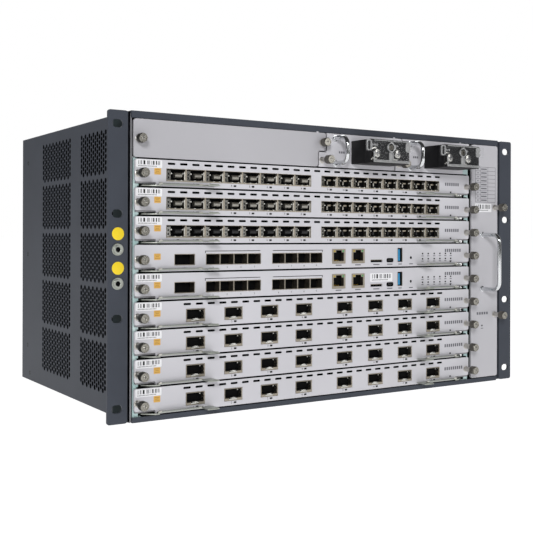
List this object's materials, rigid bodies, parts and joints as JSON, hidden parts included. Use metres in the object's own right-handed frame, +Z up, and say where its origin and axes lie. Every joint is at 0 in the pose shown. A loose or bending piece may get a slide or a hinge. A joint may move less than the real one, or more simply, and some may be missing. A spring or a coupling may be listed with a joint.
{
  "type": "optical line terminal",
  "caption": "Rack chassis of an optical line terminal: plug-in line and control cards with lever ejectors, power modules and a side fan tray behind folded rack ears.",
  "frame": {"origin": "centre of the chassis underside", "axes": "+X to the right as seen from the front, +Y to the rear, +Z up"},
  "size_m": [0.4826, 0.3335, 0.2665],
  "materials": {
    "chassis_coat": "dark slate powder coat, fine texture",
    "faceplate_paint": "light grey satin paint",
    "chromated_steel": "chromated sheet with a blue-green sheen",
    "nickel_sheet": "bright nickel plate",
    "chromed_wire": "polished chrome",
    "circuit_board": "solder mask with plated port cages",
    "fan_plastic": "moulded black plastic",
    "terminal_plastic": "moulded black plastic",
    "clear_cover": "clear polycarbonate",
    "galvanised_sheet": "plain galvanised sheet"
  },
  "bodies": {
    "chassis": {"side_wall_left": "chassis_coat", "side_wall_right": "chassis_coat", "top_cover": "chassis_coat", "bottom_plate": "chassis_coat", "rear_panel": "chassis_coat", "rack_ear_left": "chassis_coat", "rack_ear_right": "chassis_coat", "backplane": "circuit_board", "card_cage_left": "chromated_steel", "card_cage_right": "chromated_steel", "power_shelf": "galvanised_sheet", "blank_panel": "faceplate_paint"},
    "card_1": {"card_1_panel": "faceplate_paint", "card_1_board": "circuit_board"},
    "card_2": {"card_2_panel": "faceplate_paint", "card_2_board": "circuit_board"},
    "card_3": {"card_3_panel": "faceplate_paint", "card_3_board": "circuit_board"},
    "card_4": {"card_4_panel": "faceplate_paint", "card_4_board": "circuit_board"},
    "card_5": {"card_5_panel": "faceplate_paint", "card_5_board": "circuit_board"},
    "card_6": {"card_6_panel": "faceplate_paint", "card_6_board": "circuit_board"},
    "card_7": {"card_7_panel": "faceplate_paint", "card_7_board": "circuit_board"},
    "card_8": {"card_8_panel": "faceplate_paint", "card_8_board": "circuit_board"},
    "card_9": {"card_9_panel": "faceplate_paint", "card_9_board": "circuit_board"},
    "fan_tray": {"fan_tray_panel": "faceplate_paint", "fan_tray_frame": "galvanised_sheet", "fan_tray_handle": "chromed_wire"},
    "power_1": {"power_module_1": "faceplate_paint", "power_terminal_1": "terminal_plastic", "power_cover_1": "clear_cover"},
    "power_2": {"power_module_2": "faceplate_paint", "power_terminal_2": "terminal_plastic", "power_cover_2": "clear_cover"},
    "fan_1": {"fan_rotor_1": "fan_plastic"},
    "fan_2": {"fan_rotor_2": "fan_plastic"},
    "card_1_lever_left": {"card_1_ejector_left": "nickel_sheet"},
    "card_1_lever_right": {"card_1_ejector_right": "nickel_sheet"},
    "card_2_lever_left": {"card_2_ejector_left": "nickel_sheet"},
    "card_2_lever_right": {"card_2_ejector_right": "nickel_sheet"},
    "card_3_lever_left": {"card_3_ejector_left": "nickel_sheet"},
    "card_3_lever_right": {"card_3_ejector_right": "nickel_sheet"},
    "card_4_lever_left": {"card_4_ejector_left": "nickel_sheet"},
    "card_4_lever_right": {"card_4_ejector_right": "nickel_sheet"},
    "card_5_lever_left": {"card_5_ejector_left": "nickel_sheet"},
    "card_5_lever_right": {"card_5_ejector_right": "nickel_sheet"},
    "card_6_lever_left": {"card_6_ejector_left": "nickel_sheet"},
    "card_6_lever_right": {"card_6_ejector_right": "nickel_sheet"},
    "card_7_lever_left": {"card_7_ejector_left": "nickel_sheet"},
    "card_7_lever_right": {"card_7_ejector_right": "nickel_sheet"},
    "card_8_lever_left": {"card_8_ejector_left": "nickel_sheet"},
    "card_8_lever_right": {"card_8_ejector_right": "nickel_sheet"},
    "card_9_lever_left": {"card_9_ejector_left": "nickel_sheet"},
    "card_9_lever_right": {"card_9_ejector_right": "nickel_sheet"}
  },
  "joints": [
    {"name": "card_1_slide", "type": "slide", "parent": "chassis", "child": "card_1", "axis": [0, -1, 0], "range_m": [0, 0.22]},
    {"name": "card_2_slide", "type": "slide", "parent": "chassis", "child": "card_2", "axis": [0, -1, 0], "range_m": [0, 0.22]},
    {"name": "card_3_slide", "type": "slide", "parent": "chassis", "child": "card_3", "axis": [0, -1, 0], "range_m": [0, 0.22]},
    {"name": "card_4_slide", "type": "slide", "parent": "chassis", "child": "card_4", "axis": [0, -1, 0], "range_m": [0, 0.22]},
    {"name": "card_5_slide", "type": "slide", "parent": "chassis", "child": "card_5", "axis": [0, -1, 0], "range_m": [0, 0.22]},
    {"name": "card_6_slide", "type": "slide", "parent": "chassis", "child": "card_6", "axis": [0, -1, 0], "range_m": [0, 0.22]},
    {"name": "card_7_slide", "type": "slide", "parent": "chassis", "child": "card_7", "axis": [0, -1, 0], "range_m": [0, 0.22]},
    {"name": "card_8_slide", "type": "slide", "parent": "chassis", "child": "card_8", "axis": [0, -1, 0], "range_m": [0, 0.22]},
    {"name": "card_9_slide", "type": "slide", "parent": "chassis", "child": "card_9", "axis": [0, -1, 0], "range_m": [0, 0.22]},
    {"name": "fan_tray_slide", "type": "slide", "parent": "chassis", "child": "fan_tray", "axis": [0, -1, 0], "range_m": [0, 0.18]},
    {"name": "power_1_slide", "type": "slide", "parent": "chassis", "child": "power_1", "axis": [0, -1, 0], "range_m": [0, 0.19]},
    {"name": "power_2_slide", "type": "slide", "parent": "chassis", "child": "power_2", "axis": [0, -1, 0], "range_m": [0, 0.19]},
    {"name": "fan_1_spin", "type": "hinge", "parent": "fan_tray", "child": "fan_1", "pos_m": [0.198, -0.035, 0.0687], "axis": [1, 0, 0], "continuous": true},
    {"name": "fan_2_spin", "type": "hinge", "parent": "fan_tray", "child": "fan_2", "pos_m": [0.198, -0.035, 0.1963], "axis": [1, 0, 0], "continuous": true},
    {"name": "card_1_lever_left_swing", "type": "hinge", "parent": "card_1", "child": "card_1_lever_left", "pos_m": [-0.2036, -0.1405, 0.2031], "axis": [0, 0, -1], "range_deg": [0, 55]},
    {"name": "card_1_lever_right_swing", "type": "hinge", "parent": "card_1", "child": "card_1_lever_right", "pos_m": [0.1624, -0.1405, 0.2031], "axis": [0, 0, 1], "range_deg": [0, 55]},
    {"name": "card_2_lever_left_swing", "type": "hinge", "parent": "card_2", "child": "card_2_lever_left", "pos_m": [-0.2036, -0.1405, 0.1785], "axis": [0, 0, -1], "range_deg": [0, 55]},
    {"name": "card_2_lever_right_swing", "type": "hinge", "parent": "card_2", "child": "card_2_lever_right", "pos_m": [0.1624, -0.1405, 0.1785], "axis": [0, 0, 1], "range_deg": [0, 55]},
    {"name": "card_3_lever_left_swing", "type": "hinge", "parent": "card_3", "child": "card_3_lever_left", "pos_m": [-0.2036, -0.1405, 0.1539], "axis": [0, 0, -1], "range_deg": [0, 55]},
    {"name": "card_3_lever_right_swing", "type": "hinge", "parent": "card_3", "child": "card_3_lever_right", "pos_m": [0.1624, -0.1405, 0.1539], "axis": [0, 0, 1], "range_deg": [0, 55]},
    {"name": "card_4_lever_left_swing", "type": "hinge", "parent": "card_4", "child": "card_4_lever_left", "pos_m": [-0.2036, -0.1405, 0.1293], "axis": [0, 0, -1], "range_deg": [0, 55]},
    {"name": "card_4_lever_right_swing", "type": "hinge", "parent": "card_4", "child": "card_4_lever_right", "pos_m": [0.1624, -0.1405, 0.1293], "axis": [0, 0, 1], "range_deg": [0, 55]},
    {"name": "card_5_lever_left_swing", "type": "hinge", "parent": "card_5", "child": "card_5_lever_left", "pos_m": [-0.2036, -0.1405, 0.1047], "axis": [0, 0, -1], "range_deg": [0, 55]},
    {"name": "card_5_lever_right_swing", "type": "hinge", "parent": "card_5", "child": "card_5_lever_right", "pos_m": [0.1624, -0.1405, 0.1047], "axis": [0, 0, 1], "range_deg": [0, 55]},
    {"name": "card_6_lever_left_swing", "type": "hinge", "parent": "card_6", "child": "card_6_lever_left", "pos_m": [-0.2036, -0.1405, 0.0801], "axis": [0, 0, -1], "range_deg": [0, 55]},
    {"name": "card_6_lever_right_swing", "type": "hinge", "parent": "card_6", "child": "card_6_lever_right", "pos_m": [0.1624, -0.1405, 0.0801], "axis": [0, 0, 1], "range_deg": [0, 55]},
    {"name": "card_7_lever_left_swing", "type": "hinge", "parent": "card_7", "child": "card_7_lever_left", "pos_m": [-0.2036, -0.1405, 0.0555], "axis": [0, 0, -1], "range_deg": [0, 55]},
    {"name": "card_7_lever_right_swing", "type": "hinge", "parent": "card_7", "child": "card_7_lever_right", "pos_m": [0.1624, -0.1405, 0.0555], "axis": [0, 0, 1], "range_deg": [0, 55]},
    {"name": "card_8_lever_left_swing", "type": "hinge", "parent": "card_8", "child": "card_8_lever_left", "pos_m": [-0.2036, -0.1405, 0.0309], "axis": [0, 0, -1], "range_deg": [0, 55]},
    {"name": "card_8_lever_right_swing", "type": "hinge", "parent": "card_8", "child": "card_8_lever_right", "pos_m": [0.1624, -0.1405, 0.0309], "axis": [0, 0, 1], "range_deg": [0, 55]},
    {"name": "card_9_lever_left_swing", "type": "hinge", "parent": "card_9", "child": "card_9_lever_left", "pos_m": [-0.2036, -0.1405, 0.0063], "axis": [0, 0, -1], "range_deg": [0, 55]},
    {"name": "card_9_lever_right_swing", "type": "hinge", "parent": "card_9", "child": "card_9_lever_right", "pos_m": [0.1624, -0.1405, 0.0063], "axis": [0, 0, 1], "range_deg": [0, 55]}
  ]
}
